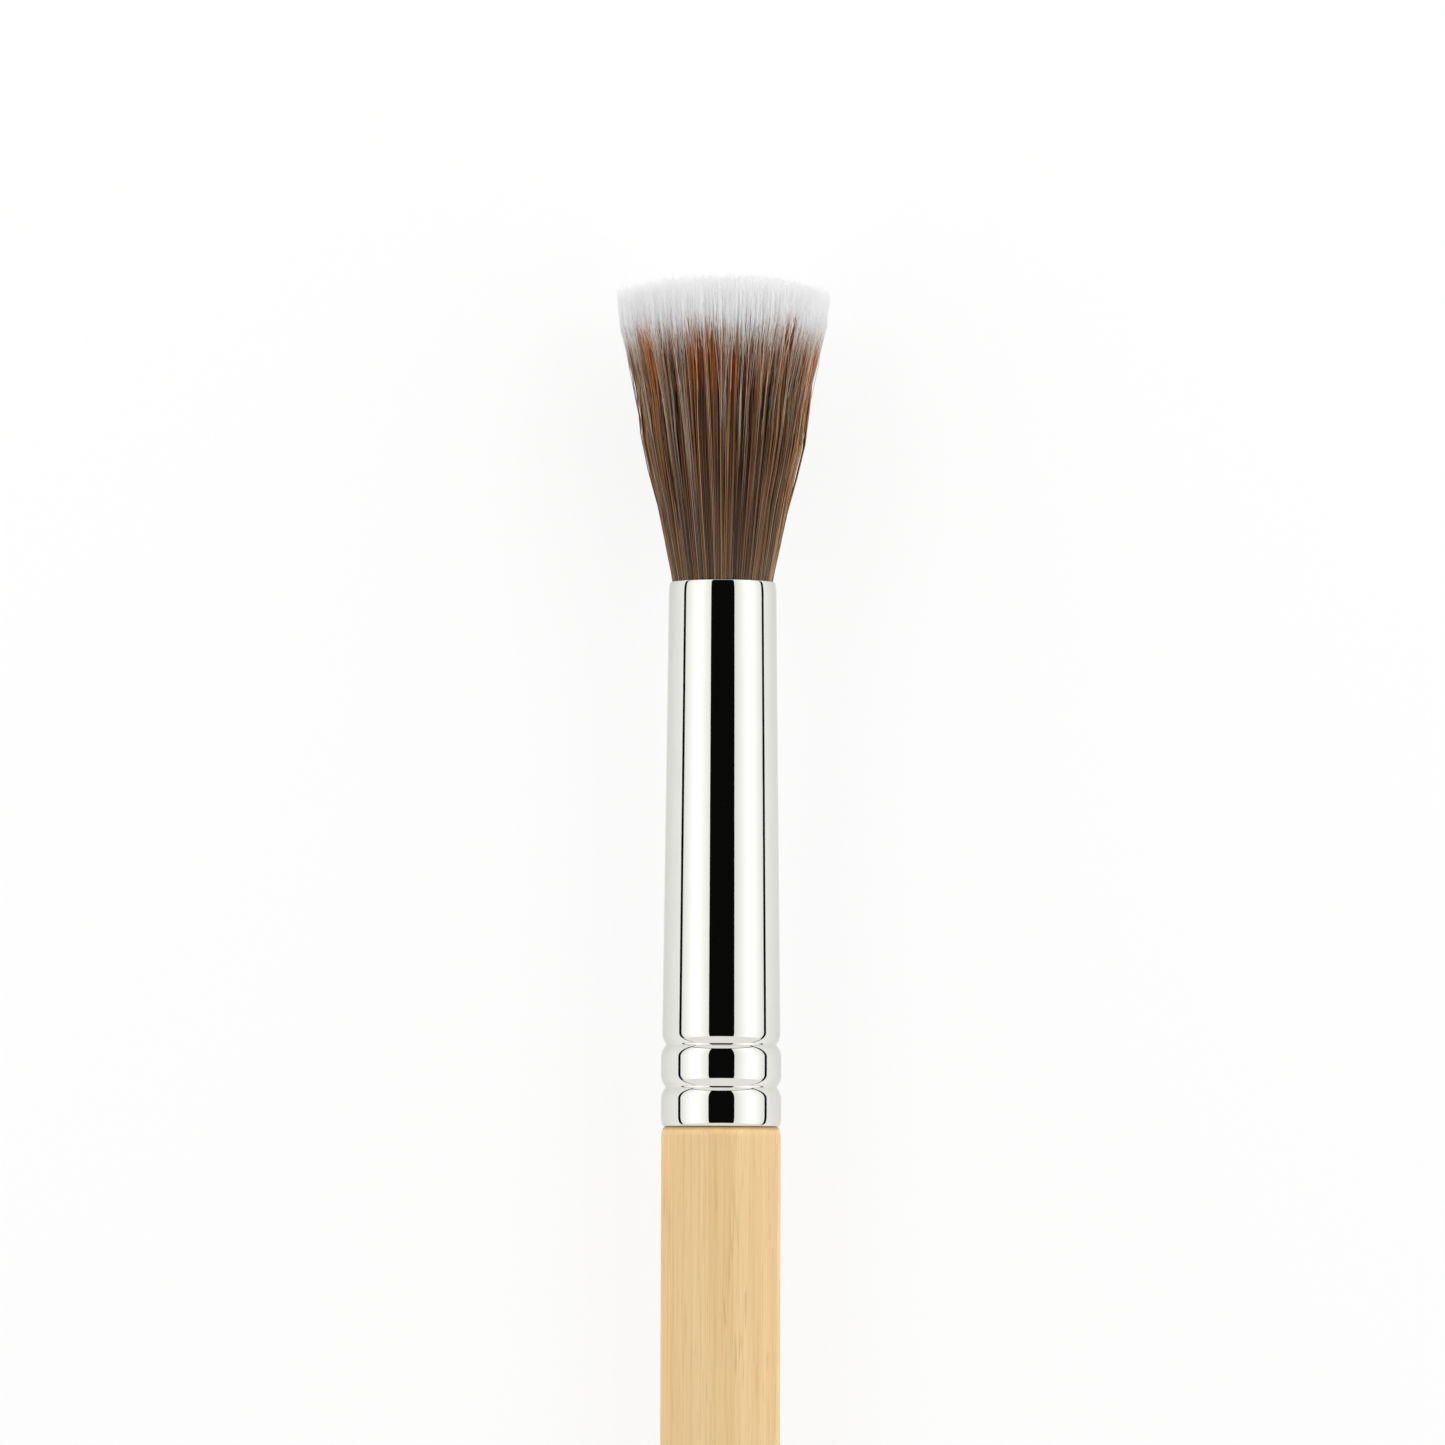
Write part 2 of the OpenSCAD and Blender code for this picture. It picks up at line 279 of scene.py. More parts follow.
def make_floor():
    """Pale paper that takes the brush's shadow and turns plain white away from it."""
    n = material_nodes("floor")
    grain = n.noise(n.add("TexCoord").outputs["Object"], 3.0)
    paper = n.mix(grain, srgb("f4f4f2"), srgb("f8f8f7"))
    lit = n.add("BsdfDiffuse", {"Color": paper, "Roughness": 0.6})
    shown = n.add("Emission", {"Color": WHITE, "Strength": 1.0})
    away = n.add("VectorMath", {0: n.add("TexCoord").outputs["Object"]}, operation="LENGTH").outputs["Value"]
    to_camera = n.spread(away, LIT_FLOOR_R, WHITE_FLOOR_R, CAMERA_MORE_NEAR, CAMERA_MORE_FAR, True)
    camera_share = n.math("MULTIPLY", n.add("LightPath").outputs["Is Camera Ray"], to_camera)
    share = n.math("ADD", camera_share, n.math("MULTIPLY", light_path_background(n), FLOOR_WHITE))
    material = n.finish(n.add("MixShader", {0: share, 1: lit, 2: shown}))
    corners = [(x * FLOOR_HALF, y * FLOOR_HALF, 0) for x, y in ((-1, -1), (1, -1), (1, 1), (-1, 1))]
    object_from("floor", corners, [(0, 1, 2, 3)], material, smooth=False)


def make_world():
    """Dim light from all round, and a pale backdrop, which is white to the camera."""
    n = Nodes(bpy.data.worlds.new("studio"))
    room = n.add("Background", {"Color": WHITE, "Strength": ROOM_LIGHT})
    backdrop = n.mix(n.add("LightPath").outputs["Is Camera Ray"], PALE, WHITE)
    pale = n.add("Background", {"Color": backdrop, "Strength": 1.0})
    both = n.add("MixShader", {0: light_path_background(n), 1: room, 2: pale})
    bpy.context.scene.world = n.finish(both, "OutputWorld")


# Ferrule: the CAD part's tube, turned finely enough to mirror the studio without facets. The lip's inner edge
# is rounded by a radius in millimetres, and edges sharper than the crease stay crisp.
TURN_STEPS = 192
LIP_EDGE_R = 0.06
CREASE = math.radians(50)


def tube_r(z):
    crimps_end = GROOVES[1] + GROOVE_W / 2
    lip_start = FERRULE_LEN - LIP_LEN
    if z < lip_start:
        heights = (0, crimps_end - GROOVE_W, crimps_end, lip_start)
        return float(np.interp(z, heights, (CRIMP_R, CRIMP_R, BODY_R, NECK_R)))
    curl = math.sqrt(max(0.0, 1 - ((z - lip_start) / LIP_LEN) ** 2))
    return MOUTH_R + (NECK_R - MOUTH_R) * curl


GROOVE_SLOPE = 2 * math.atan(2 * GROOVE_DEPTH / GROOVE_W)
BEAD_R = GROOVE_W / 2 / math.sin(GROOVE_SLOPE) - GROOVE_BOTTOM_R


def groove(z, at):
    off = abs(z - at)
    if off >= GROOVE_W / 2:
        return 0.0
    if off < GROOVE_BOTTOM_R * math.sin(GROOVE_SLOPE):
        return GROOVE_DEPTH - GROOVE_BOTTOM_R + math.sqrt(GROOVE_BOTTOM_R**2 - off**2)
    return BEAD_R - math.sqrt(BEAD_R**2 - (GROOVE_W / 2 - off) ** 2)


def outer_r(z):
    foot = (WALL - FOOT_EDGE) * (1 - math.sqrt(1 - (1 - z / FOOT_H) ** 2)) if z < FOOT_H else 0.0
    return tube_r(z) - sum(groove(z, at) for at in GROOVES) - foot


def bore_r(z):
    return tube_r(z) - sum(groove(z, at) for at in GROOVES) - WALL


def tube_heights():
    """Heights of the outline's points, closest together where it curves most."""
    heights = [FOOT_H * (1 - math.cos(math.pi / 2 * i / 12)) for i in range(13)]
    for at in GROOVES:
        for i in range(12):
            off = GROOVE_W / 2 - BEAD_R * math.sin(GROOVE_SLOPE * i / 12)
            heights += [at - off, at + off]
        for i in range(-8, 9):
            heights.append(at + GROOVE_BOTTOM_R * math.sin(GROOVE_SLOPE * i / 8))
    heights += list(np.linspace(GROOVES[1] + GROOVE_W / 2 + 1, FERRULE_LEN - LIP_LEN - 1, 8))
    heights += [FERRULE_LEN - LIP_LEN * (1 - math.sin(math.pi / 2 * i / 20)) for i in range(20)]
    return sorted(set(round(z, 5) for z in heights))


def polished_metal():
    """Polished metal with the fine lengthwise lines of drawing and a few wider, duller marks."""
    n = material_nodes("polished_metal")
    along = brush_coordinates(n, (1, 0.02, 1))
    lines = n.noise(along, 9000.0, 4.0, 0.6)
    marks = n.noise(brush_coordinates(n), 260.0, 2.0)
    roughness = n.spread(n.math("MULTIPLY", lines, marks), 0.05, 0.5, 0.012, 0.04)
    tone = n.mix(marks, srgb("e5e5e0"), srgb("ebebe6"))
    bump = n.add("Bump", {"Strength": 0.006, "Distance": 0.00002, "Height": lines})
    metal = n.add(
        "BsdfPrincipled",
        {"Base Color": tone, "Metallic": 1.0, "Roughness": roughness, "Normal": bump.outputs[0]},
    )
    return n.finish(metal)


def sharpen(obj, angle):
    """Edges sharper than the angle keep a crisp line in the smooth shading."""
    mesh = obj.data
    normals = [p.normal.copy() for p in mesh.polygons]
    faces_of = {}
    for p in mesh.polygons:
        for key in p.edge_keys:
            faces_of.setdefault(key, []).append(p.index)
    for e in mesh.edges:
        pair = faces_of.get(tuple(sorted(e.vertices)), ())
        if len(pair) == 2 and normals[pair[0]].angle(normals[pair[1]], 0) > angle:
            e.use_edge_sharp = True


def make_ferrule():
    heights = tube_heights()
    mouth_bore = bore_r(FERRULE_LEN)
    outline = [(outer_r(z), z) for z in heights] + [(MOUTH_R, FERRULE_LEN)]
    for i in range(7):
        a = math.radians(15 * i)
        r, z = mouth_bore + LIP_EDGE_R * (1 - math.sin(a)), FERRULE_LEN - LIP_EDGE_R * (1 - math.cos(a))
        outline.append((r, z))
    outline += [(bore_r(z), z) for z in heights[::-1] if z < FERRULE_LEN - LIP_EDGE_R]
    count = len(outline)
    vertices, faces = [], []
    for j in range(TURN_STEPS):
        a = 2 * math.pi * j / TURN_STEPS
        for r, z in outline:
            place = Vector((r * math.sin(a), FOOT_S + z, r * math.cos(a))) * MM
            vertices.append(LAY @ place)
    for j in range(TURN_STEPS):
        k = (j + 1) % TURN_STEPS
        for i in range(count):
            m = (i + 1) % count
            faces.append((j * count + i, j * count + m, k * count + m, k * count + i))
    obj = object_from("ferrule_tube", vertices, faces, polished_metal())
    sharpen(obj, CREASE)
    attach(obj, "root")
    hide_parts("ferrule")


# Painted shade darkens the wood's end, where the gap at the ferrule's foot casts its shadow: where that
# starts and ends, in millimetres from the ferrule's foot
SEAM_SHADE_START, SEAM_SHADE_END = 0.42, 0.1


def bamboo():
    """Pale bamboo under thin lacquer: fine lengthwise fibres, wider tone bands, and a few dark vessel lines
    and flecks."""
    n = material_nodes("bamboo")
    wide = n.noise(brush_coordinates(n, (1, 0.012, 1)), 620.0, 3.0, 0.6)
    fine = n.noise(brush_coordinates(n, (1, 0.012, 1)), 6500.0, 4.0, 0.7)
    pores = n.noise(brush_coordinates(n, (1, 0.02, 1)), 5200.0, 1.0, 0.5)
    lines = n.noise(brush_coordinates(n, (1, 0.008, 1)), 1500.0, 0.0, 0.5)
    hairlines = n.noise(brush_coordinates(n, (1, 0.02, 1)), 2600.0, 0.0, 0.5)
    flecks = n.noise(brush_coordinates(n, (1, 0.035, 1)), 6000.0, 0.0, 0.5)
    fleck_places = n.noise(brush_coordinates(n, (1, 0.4, 1)), 260.0, 1.0, 0.5)
    soft = n.noise(brush_coordinates(n, (1, 0.25, 1)), 90.0, 2.0, 0.5)
    along = n.add("SeparateXYZ", {"Vector": brush_coordinates(n)}).outputs["Y"]
    colour = n.ramp(wide, [(0.25, srgb("d6b078")), (0.48, srgb("e3c087")), (0.75, srgb("ebcb94"))])
    colour = n.mix(n.spread(fine, 0.45, 0.72, 0.0, 0.6), colour, srgb("cfa468"))
    colour = n.mix(n.spread(pores, 0.68, 0.8, 0.0, 0.5), colour, srgb("ab7f4a"))
    ridge = n.math("ABSOLUTE", n.math("SUBTRACT", lines, 0.5))
    colour = n.mix(n.spread(ridge, 0.0, 0.012, 0.4, 0.0), colour, srgb("b98c55"))
    hair_ridge = n.math("ABSOLUTE", n.math("SUBTRACT", hairlines, 0.5))
    colour = n.mix(n.spread(hair_ridge, 0.0, 0.035, 0.32, 0.0), colour, srgb("c79b60"))
    fleck = n.math("MULTIPLY", n.spread(flecks, 0.66, 0.72), n.spread(fleck_places, 0.52, 0.6))
    colour = n.mix(n.math("MULTIPLY", fleck, 0.25), colour, srgb("8f6538"))
    colour = n.mix(n.spread(soft, 0.3, 0.7, 0.0, 0.25), colour, srgb("f3d6a4"))
    # Painted shade: a dark band on the wood next to the ferrule's foot stands for the shadow in the gap there
    painted_seam_shade_end = (FOOT_S - SEAM_SHADE_END) * MM
    painted_seam_shade = n.spread(along, (FOOT_S - SEAM_SHADE_START) * MM, painted_seam_shade_end, 0.0, 0.75)
    colour = n.mix(painted_seam_shade, colour, srgb("86622f"))
    bump = n.add("Bump", {"Strength": 0.25, "Distance": 0.00002, "Height": fine})
    wood = n.add(
        "BsdfPrincipled",
        {
            "Base Color": colour,
            "Roughness": n.spread(fine, 0.3, 0.7, 0.42, 0.55),
            "Normal": bump.outputs[0],
            "Coat Weight": 0.15,
            "Coat Roughness": 0.3,
        },
    )
    return n.finish(wood)


def epoxy():
    n = material_nodes("epoxy")
    cloud = n.noise(n.add("TexCoord").outputs["Object"], 900.0)
    tone = n.mix(cloud, srgb("c49a50"), srgb("d8b26a"))
    return n.finish(n.add("BsdfPrincipled", {"Base Color": tone, "Roughness": 0.25}))


# Fibre head. Distances are in millimetres, and places across the head are shares of its radius. The scatters
# of lengths, places and tones are standard deviations. Its outline starts at the root radius, swells over the
# lip to the foot radius, and flares from there. Fibres start in the mouth, below the lip.
ROOT_R = 4.44
FOOT_R, FLARE, FLARE_MORE = 4.6, 0.204, 0.00035
SWELL_H = 0.4
START_H, FIRST_STEP = -0.9, 0.05
GOLDEN_TURN = math.pi * (3 - math.sqrt(5))
SEED = 7
FIBRES = 18500
TUFTS, STRANDS = 150, 2500
SIDES = 3
# No point of a fibre goes below this height, so that the head lies on the floor
LOWEST = 0.02 * MM

# Heights of the brown fibres and of the top, how much lower they are at the head's edge, and the lengths'
# limits. White fibres are measured from a little above the top and take a share of their tuft's scatter.
BROWN_H, BROWN_DROP = 24.1, 2.0
BROWN_SHORTEST, BROWN_LONGEST = 18.5, 25.0
TOP_H, TOP_DROP = 28.2, 1.5
WHITE_SHORTEST, PAST_TOP = 23.5, 0.15
WHITE_RAISED, WHITE_TUFT_SHARE = 0.12, 0.3
TUFT_LENGTH, STRAND_LENGTH, BROWN_LENGTH, WHITE_LENGTH = 0.5, 0.4, 0.45, 0.55

# The share of white fibres, how much smaller it is at the head's edge and where that starts and how far it
# takes, how much it differs between tufts, and what the few whiter strands and the other ones add to it
WHITE_SHARE, WHITE_LESS, WHITE_LESS_AT = 0.66, 0.5, (0.84, 0.08)
TUFT_WHITE = 0.08
WHITER_STRANDS, WHITER, LESS_WHITE = 0.28, 0.45, -0.13

# Tones: how they scatter round the middle one, and how much painted light the tufts' tone gives the head's
# left and right sides, with painted shade on its top and bottom
MIDDLE_TONE = 0.5
TUFT_TONE, STRAND_TONE, FIBRE_TONE = 0.22, 0.28, 0.3
PAINTED_SIDE_LIGHT = 0.45

# Places: how strands and fibres scatter over the head, how far their tips lean, how deep strands sink, which
# share of the strands is loose, how far those bow out in millimetres and from which radius, and how strongly
# a strand and a tuft draw their fibres in
STRAND_PLACE, FIBRE_PLACE = 0.016, 0.004
STRAND_LEAN, FIBRE_LEAN = 0.01, 0.02
STRAND_SINK = 0.022
LOOSE_STRANDS, LEAST_BOW, MOST_BOW, BOW_RHO = 0.3, 0.1, 0.45, 0.95
STRAND_PULL, TUFT_PULL = 0.27, 0.1

# Where along a fibre each change takes place: its start above the mouth and the length that it takes
GATHER, LOOSEN = (0.0, 8.0), (16.0, 6.0)
NARROW, SPREAD = (11.0, 10.0), (18.5, 7.5)
LEAN, FRAY, BOW = (0.0, WHITE_LEN), (17.0, 9.0), (5.0, 15.0)

# Of each kind: a fibre's radius, how far below its tip it starts to thin, the radius of its tip, how much
# less the kind flares and how far its tips fray. Then the factors for the thinnest and the thickest fibres,
# and the power that shapes a tip.
THICK = {"brown": 0.045, "white": 0.031}
TAPER = {"brown": 3.6, "white": 8.0}
TIP = {"brown": 0.014, "white": 0.01}
LESS_WIDE = {"brown": 0.07, "white": 0.0}
FRAYED = {"brown": 0.01, "white": 0.045}
THINNEST, THICKEST = 0.8, 1.2
TAPER_POWER = 0.7
# Of each kind, from the middle outwards: a layer's name, where it starts and ends, and a fibre's points
LAYERS = {
    "brown": (("inner", 0.0, 0.7, 5), ("middle", 0.7, 0.9, 7), ("outer", 0.9, 2.0, 9)),
    "white": (("inner", 0.0, 0.57, 6), ("middle", 0.57, 0.82, 7), ("outer", 0.82, 2.0, 10)),
}


def sunflower(count):
    """Points spread evenly over a disc of radius 1."""
    i = np.arange(count)
    r = np.sqrt((i + 0.5) / count)
    return np.stack([r * np.cos(i * GOLDEN_TURN), r * np.sin(i * GOLDEN_TURN)], 1)


def head_r(h):
    """Radius of the head at height h above the mouth: it swells over the lip, then flares almost evenly."""
    flared = FOOT_R + FLARE * h + FLARE_MORE * h**2
    swell = np.clip(h / SWELL_H, 0, 1)
    return ROOT_R + (np.minimum(flared, HEAD_R) - ROOT_R) * swell * (2 - swell)


def nearest(points, centres):
    """The number of the centre nearest to each point, worked out for a batch of points at a time."""
    batch = 1000
    best = np.empty(len(points), int)
    for start in range(0, len(points), batch):
        part = points[start : start + batch]
        gaps = ((part[:, None, :] - centres[None]) ** 2).sum(2)
        best[start : start + batch] = gaps.argmin(1)
    return best


def progress(value, change):
    """How far a change has come: 0 up to its start, 1 past its end, and a smooth rise between them."""
    start, over = change
    x = np.clip((value - start) / over, 0, 1)
    return x * x * (3 - 2 * x)


def fibre_paths(steps, lengths, disc, tuft, strand, sink, outwards, lean, fray, bow, narrow):
    """Paths from the mouth to the tips, as heights and as points: x across, up, and along the brush.
    Where the brown fibres stand, a fibre is drawn a little towards its strand and its tuft, and sinks with
    its strand below the head's outline. outwards is how far it spreads above them, lean how far its tip goes
    astray over its whole length and fray over its last part, bow how far it bulges out at half its height,
    and narrow how much less its kind flares."""
    t = np.append(0.0, np.linspace(FIRST_STEP, 1, steps - 1))
    h = START_H + (lengths[:, None] - START_H) * t[None]
    together = progress(h, GATHER) * (1 - progress(h, LOOSEN))
    p = np.repeat(disc[:, None, :], steps, 1)
    p = p + (STRAND_PULL * together)[..., None] * (strand[:, None, :] - p)
    p = p + (TUFT_PULL * together)[..., None] * (tuft[:, None, :] - p)
    p = p * (1 - narrow * progress(h, NARROW) - sink[:, None] * together)[..., None]
    p = p * (1 + outwards[:, None] * progress(h, SPREAD))[..., None]
    p = p + lean[:, None, :] * progress(h, LEAN)[..., None]
    p = p + fray[:, None, :] * progress(h, FRAY)[..., None]
    # A point that strays outside the outline is turned back inside it
    size = np.maximum(np.linalg.norm(p, axis=2, keepdims=True), 1e-6)
    p = p * (np.minimum(size, 2 - size) / size)
    bow_start, bow_over = BOW
    bulge = np.sin(np.pi * np.clip((h - bow_start) / bow_over, 0, 1)) ** 2
    out = head_r(h) + bow[:, None] * bulge
    return h, np.concatenate([p * out[..., None], (MOUTH_S + h)[..., None]], 2)


# Bake map: each fibre has its own cell, so many times as tall as it is wide. A part of the cell is used. Its
# margins at the bottom and the top hold the fibre's two ends, and the sides lie between them.
CELL_TALL = 6
CELL_USED = (0.84, 0.94)
SIDES_MARGIN, END_MARGIN = 0.06, 0.05
END_LEFT, END_RIGHT = 0.1, 0.9


def bake_map(mesh, count, steps):
    columns = math.ceil(math.sqrt(count * CELL_TALL))
    rows = math.ceil(count / columns)
    i = np.arange(count)
    corner = np.stack([(i % columns) / columns, (i // columns) / rows], 1)
    cell = np.array([CELL_USED[0] / columns, CELL_USED[1] / rows])
    v = SIDES_MARGIN + (1 - 2 * SIDES_MARGIN) * np.arange(steps) / (steps - 1)
    u = np.arange(SIDES + 1) / SIDES
    square = np.array([(0, 0), (0, 1), (1, 1), (1, 0)])
    at_v = v[np.arange(steps - 1)[:, None, None] + square[None, None, :, 0]] + np.zeros((1, SIDES, 1))
    at_u = u[np.arange(SIDES)[None, :, None] + square[None, None, :, 1]] + np.zeros((steps - 1, 1, 1))
    one = np.stack([at_u, at_v], 3)
    quads = corner[:, None, None, None] + one[None] * cell
    ends = []
    for base, point in ((0.0, END_MARGIN), (1.0, 1 - END_MARGIN)):
        end = np.array([(END_LEFT, base), (END_RIGHT, base), (0.5, point)])
        ends.append(corner[:, None] + end[None] * cell)
    layer = mesh.uv_layers.new(name="OFBake")
    uv = np.concatenate([quads.reshape(-1, 2), ends[0].reshape(-1, 2), ends[1].reshape(-1, 2)])
    layer.data.foreach_set("uv", uv.astype(np.float32).ravel())


def tube_faces(count, steps):
    """The corners of all faces in one row, and where in it each face starts: first the tubes' four-cornered
    sides, and then their lower and upper ends."""
    first = (np.arange(count) * steps * SIDES)[:, None, None]
    i = np.arange(steps - 1)[None, :, None] * SIDES
    j = np.arange(SIDES)[None, None]
    k = (j + 1) % SIDES
    quads = np.stack([first + i + j, first + i + k, first + i + SIDES + k, first + i + SIDES + j], 3)
    low = first[:, 0] + np.arange(SIDES)[::-1][None]
    high = first[:, 0] + (steps - 1) * SIDES + np.arange(SIDES)[None]
    corners = np.concatenate([quads.ravel(), low.ravel(), high.ravel()])
    ends_from = len(corners) - 2 * count * SIDES
    starts = np.concatenate([np.arange(0, ends_from, 4), np.arange(ends_from, len(corners), SIDES)])
    return corners.astype(np.int32), starts.astype(np.int32)


def build_fibres(name, points, radii, values, material, node):
    """One mesh of closed tubes. values holds four numbers a point, which the material reads as the attribute
    fibre."""
    count, steps, _ = points.shape
    rng = np.random.default_rng(count)
    spin = rng.uniform(0, 2 * np.pi, (count, 1, 1))
    a = spin + 2 * np.pi * np.arange(SIDES)[None, None] / SIDES
    ring = np.stack([np.cos(a), np.sin(a), np.zeros_like(a)], 3)
    place = (points[:, :, None, :] + ring * radii[:, :, None, None]).reshape(-1, 3) * MM
    x, up, s = place[:, 0], place[:, 1], place[:, 2]
    y = s * math.cos(TILT) - up * math.sin(TILT) + BUTT_Y
    z = s * math.sin(TILT) + up * math.cos(TILT) + BUTT_Z
    co = np.stack([x, y, np.maximum(z, LOWEST)], 1).astype(np.float32)
    corners, starts = tube_faces(count, steps)
    mesh = bpy.data.meshes.new(name)
    mesh.vertices.add(len(co))
    mesh.vertices.foreach_set("co", co.ravel())
    mesh.loops.add(len(corners))
    mesh.loops.foreach_set("vertex_index", corners)
    mesh.polygons.add(len(starts))
    mesh.polygons.foreach_set("loop_start", starts)
    mesh.update(calc_edges=True)
    mesh.polygons.foreach_set("use_smooth", np.ones(len(mesh.polygons), bool))
    attribute = mesh.color_attributes.new("fibre", "FLOAT_COLOR", "POINT")
    at_corners = np.repeat(values.reshape(-1, 1, 4), SIDES, 1)
    attribute.data.foreach_set("color", at_corners.astype(np.float32).ravel())
    bake_map(mesh, count, steps)
    mesh.materials.append(material)
    obj = bpy.data.objects.new(name, mesh)
    bpy.context.scene.collection.objects.link(obj)
    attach(obj, "root")
    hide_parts(node)


def fibre_values(n):
    """tone, height above the mouth in mm, distance below the fibre's own tip in mm, and the tone of the
    fibre's tuft and strand, with painted light and shade.
    """
    attribute = n.add("Attribute", attribute_type="GEOMETRY", attribute_name="fibre")
    parts = n.add("SeparateColor", {"Color": attribute.outputs["Color"]})
    height = n.math("MULTIPLY", parts.outputs["Green"], WHITE_LEN)
    below = n.math("MULTIPLY", parts.outputs["Blue"], WHITE_LEN)
    return parts.outputs["Red"], height, below, attribute.outputs["Alpha"]


def brown_material():
    n = material_nodes("brown_fibre")
    tone, height, below, clump_tone_and_shade = fibre_values(n)
    # The tuft-and-strand tone brings painted light to the head's sides and painted shade to its top and
    # bottom
    mixed = n.math("ADD", n.math("MULTIPLY", tone, 0.5), n.math("MULTIPLY", clump_tone_and_shade, 0.5))
    body = n.ramp(
        mixed,
        [
            (0.15, srgb("2a190b")),
            (0.35, srgb("5a391d")),
            (0.55, srgb("8e5e36")),
            (0.75, srgb("bb8b57")),
            (1.0, srgb("dfbc8e")),
        ],
    )
    root = n.ramp(mixed, [(0.1, srgb("3e2c1d")), (0.5, srgb("7d5d43")), (1.0, srgb("c0a079"))])
    warm = n.ramp(mixed, [(0.2, srgb("642c09")), (0.5, srgb("c66c26")), (0.9, srgb("f0ad62"))])
    colour = n.mix(n.spread(height, 1.0, 13.0, 0.8, 0.0, True), body, root)
    colour = n.mix(n.spread(below, 2.0, 7.0, 0.85, 0.0, True), colour, warm)
    colour = n.mix(n.spread(below, 0.0, 1.2, 0.6, 0.0), colour, srgb("e6ac70"))
    hair = n.add("BsdfPrincipled", {"Base Color": colour, "Roughness": 0.36, "Specular IOR Level": 0.5})
    return n.finish(hair)


def white_material():
    n = material_nodes("white_fibre")
    tone, height, _, _ = fibre_values(n)
    # The white fibres are white all along; their grey-brown low and middle colours are painted shade, warmed
    # by the brown fibres around them, and fade to white above the brown tips
    low = n.mix(tone, srgb("7e6c5d"), srgb("e0d2c5"))
    middle = n.mix(tone, srgb("a99684"), srgb("faefe4"))
    top = n.mix(tone, srgb("fdfdfe"), srgb("ffffff"))
    colour = n.mix(n.spread(height, 3.0, 14.0, 0.0, 1.0, True), low, middle)
    colour = n.mix(n.spread(height, 19.0, 23.5, 0.0, 1.0, True), colour, top)
    sheen = n.add("BsdfPrincipled", {"Base Color": colour, "Roughness": 0.3})
    through = n.add("BsdfTranslucent", {"Color": colour})
    return n.finish(n.add("MixShader", {0: 0.82, 1: sheen, 2: through}))


def brown_lengths(rng, edge, longer):
    scatter = longer + rng.normal(0, BROWN_LENGTH, len(edge))
    return np.clip(BROWN_H - BROWN_DROP * edge**4 + scatter, BROWN_SHORTEST, BROWN_LONGEST)


def white_lengths(rng, edge, longer):
    """The white fibres end in an even dome, so most of their scatter goes down from it."""
    lengths = TOP_H - TOP_DROP * edge**2 + WHITE_RAISED - np.abs(rng.normal(0, WHITE_LENGTH, len(edge)))
    return np.clip(lengths + WHITE_TUFT_SHARE * longer, WHITE_SHORTEST, TOP_H + PAST_TOP)


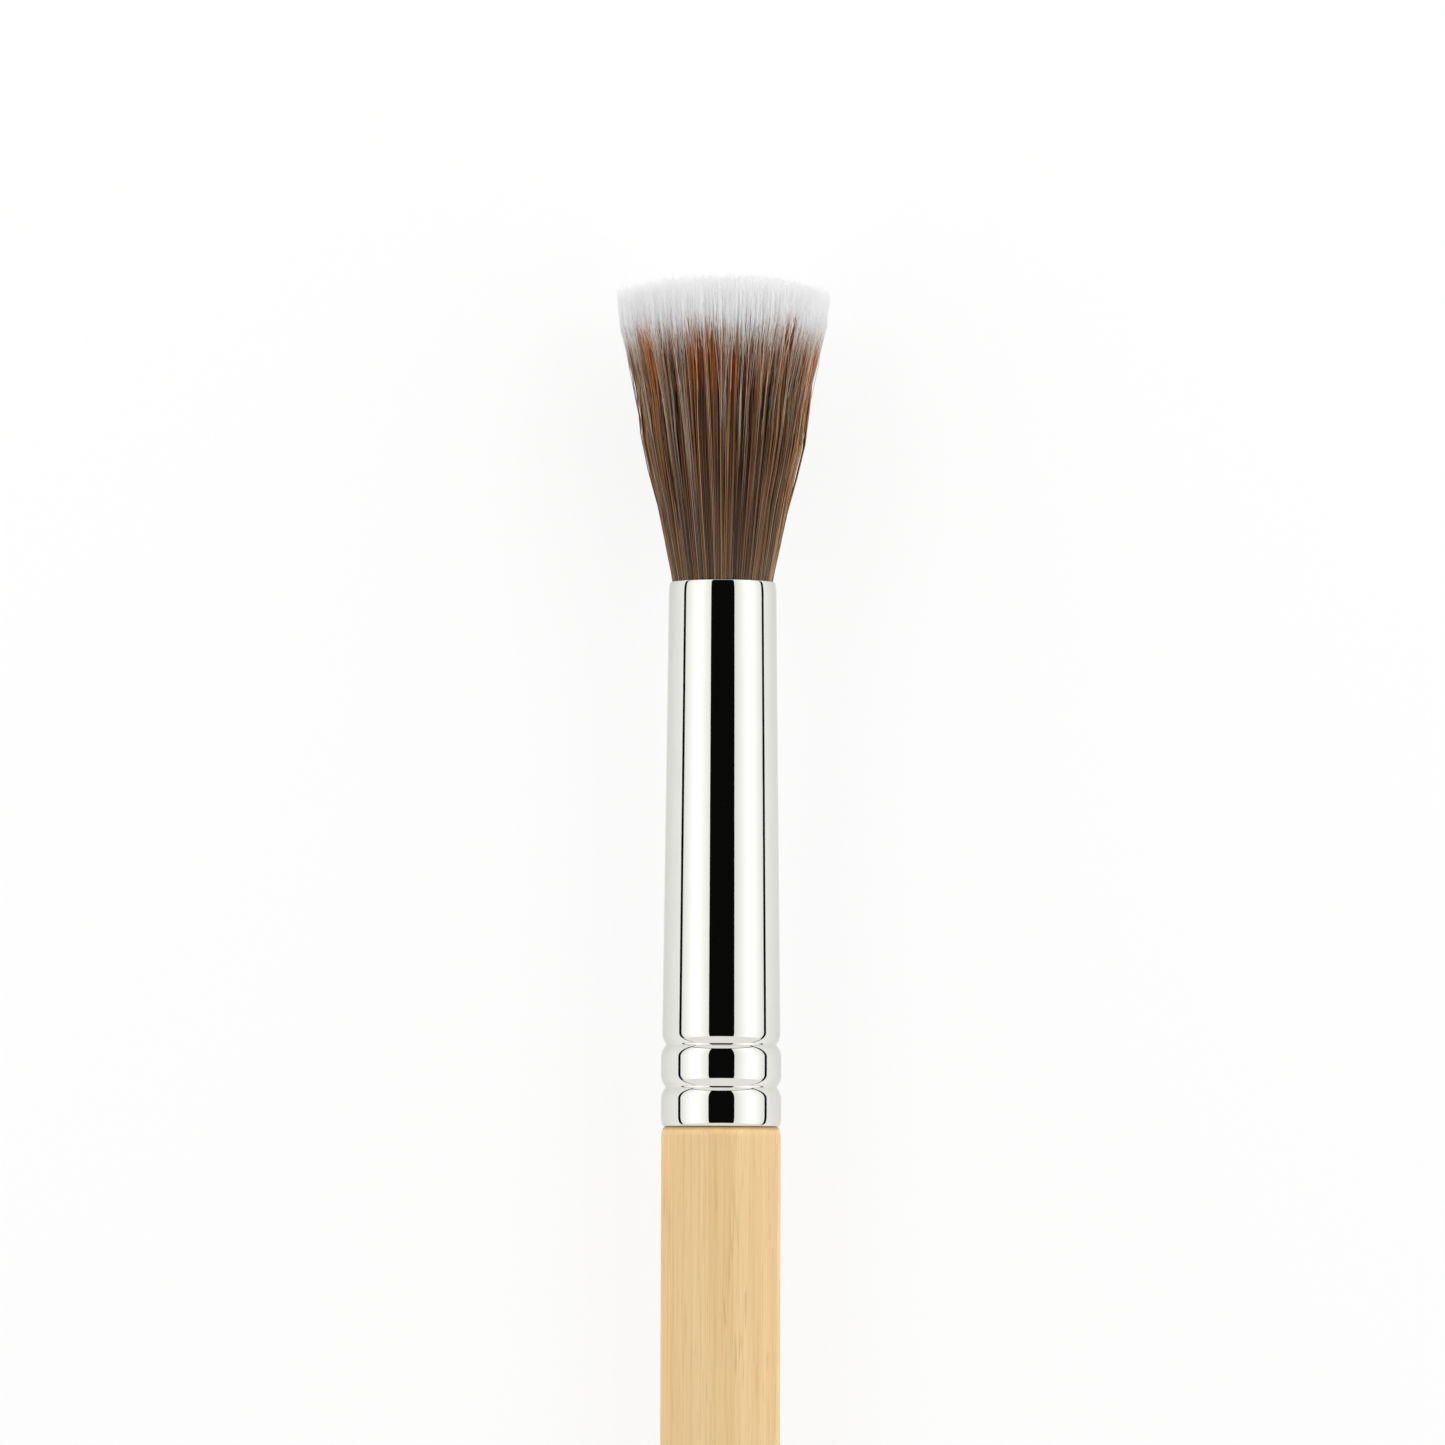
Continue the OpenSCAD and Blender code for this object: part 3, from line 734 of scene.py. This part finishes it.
def make_head():
    rng = np.random.default_rng(SEED)
    tufts, strands = sunflower(TUFTS), sunflower(STRANDS)
    strands = strands + rng.normal(0, STRAND_PLACE, strands.shape)
    # Painted light and shade: the tufts' tone is lighter on the head's left and right and darker at its top
    # and bottom
    tuft_angle = 2 * np.arctan2(tufts[:, 0], tufts[:, 1])
    tuft_tone_and_shade = rng.normal(MIDDLE_TONE, TUFT_TONE, TUFTS) - PAINTED_SIDE_LIGHT * np.cos(tuft_angle)
    tuft_tone_and_shade = np.clip(tuft_tone_and_shade, 0, 1)
    tuft_length = rng.normal(0, TUFT_LENGTH, TUFTS)
    tuft_white = rng.uniform(-TUFT_WHITE, TUFT_WHITE, TUFTS)
    strand_tone = np.clip(rng.normal(MIDDLE_TONE, STRAND_TONE, STRANDS), 0, 1)
    strand_length = rng.normal(0, STRAND_LENGTH, STRANDS)
    strand_lean = rng.normal(0, STRAND_LEAN, strands.shape)
    strand_white = np.where(rng.uniform(0, 1, STRANDS) < WHITER_STRANDS, WHITER, LESS_WHITE)
    strand_sink = np.abs(rng.normal(0, STRAND_SINK, STRANDS))
    loose = rng.uniform(0, 1, STRANDS) < LOOSE_STRANDS
    strand_bow = np.where(loose, rng.uniform(LEAST_BOW, MOST_BOW, STRANDS), 0)

    disc = sunflower(FIBRES) + rng.normal(0, FIBRE_PLACE, (FIBRES, 2))
    rho = np.linalg.norm(disc, axis=1)
    of_tuft, of_strand = nearest(disc, tufts), nearest(disc, strands)
    share = WHITE_SHARE - WHITE_LESS * progress(rho, WHITE_LESS_AT)
    share = share + tuft_white[of_tuft] + strand_white[of_strand]
    white = rng.uniform(0, 1, FIBRES) < share
    # Above the brown fibres, the white ones spread out to fill the whole top evenly
    rank = np.argsort(np.argsort(rho[white]))
    outwards = np.zeros(FIBRES)
    outwards[white] = np.sqrt((rank + 0.5) / len(rank)) / rho[white] - 1

    materials = {"brown": brown_material(), "white": white_material()}
    for kind, layers in LAYERS.items():
        of_kind = white == (kind == "white")
        for layer, from_rho, to_rho, steps in layers:
            chosen = np.nonzero(of_kind & (rho > from_rho) & (rho <= to_rho))[0]
            count = len(chosen)
            edge = np.clip(rho[chosen], 0, 1)
            strand, tuft = of_strand[chosen], of_tuft[chosen]
            lean = strand_lean[strand] + rng.normal(0, FIBRE_LEAN, (count, 2))
            if kind == "white":
                lengths = white_lengths(rng, edge, tuft_length[tuft])
            else:
                lengths = brown_lengths(rng, edge, tuft_length[tuft] + strand_length[strand])
            h, points = fibre_paths(
                steps,
                lengths,
                disc[chosen],
                tufts[tuft],
                strands[strand],
                sink=strand_sink[strand],
                outwards=outwards[chosen],
                lean=lean,
                fray=rng.normal(0, FRAYED[kind], (count, 2)),
                bow=strand_bow[strand] * (edge > BOW_RHO),
                narrow=LESS_WIDE[kind],
            )
            below = lengths[:, None] - h
            full = np.clip(below / TAPER[kind], 0, 1) ** TAPER_POWER
            radii = TIP[kind] + (THICK[kind] - TIP[kind]) * full
            radii *= rng.uniform(THINNEST, THICKEST, (count, 1))
            values = np.empty((count, steps, 4))
            values[..., 0] = np.clip(rng.normal(MIDDLE_TONE, FIBRE_TONE, count), 0, 1)[:, None]
            values[..., 1] = np.clip(h / WHITE_LEN, 0, 1)
            values[..., 2] = below / WHITE_LEN
            # The fourth value is the tone of the fibre's tuft and strand, with the tufts' painted light and
            # shade
            values[..., 3] = (0.5 * tuft_tone_and_shade[tuft] + 0.5 * strand_tone[strand])[:, None]
            name = f"{kind}_fibres_{layer}"
            build_fibres(name, points, radii, values, materials[kind], f"{kind}_fibres")


bpy.context.scene.view_settings.view_transform = "Standard"
make_camera()
make_studio()
make_floor()
make_world()
make_ferrule()
for node, material in (("handle", bamboo()), ("epoxy_plug", epoxy())):
    nodes[node].data.materials.clear()
    nodes[node].data.materials.append(material)
make_head()
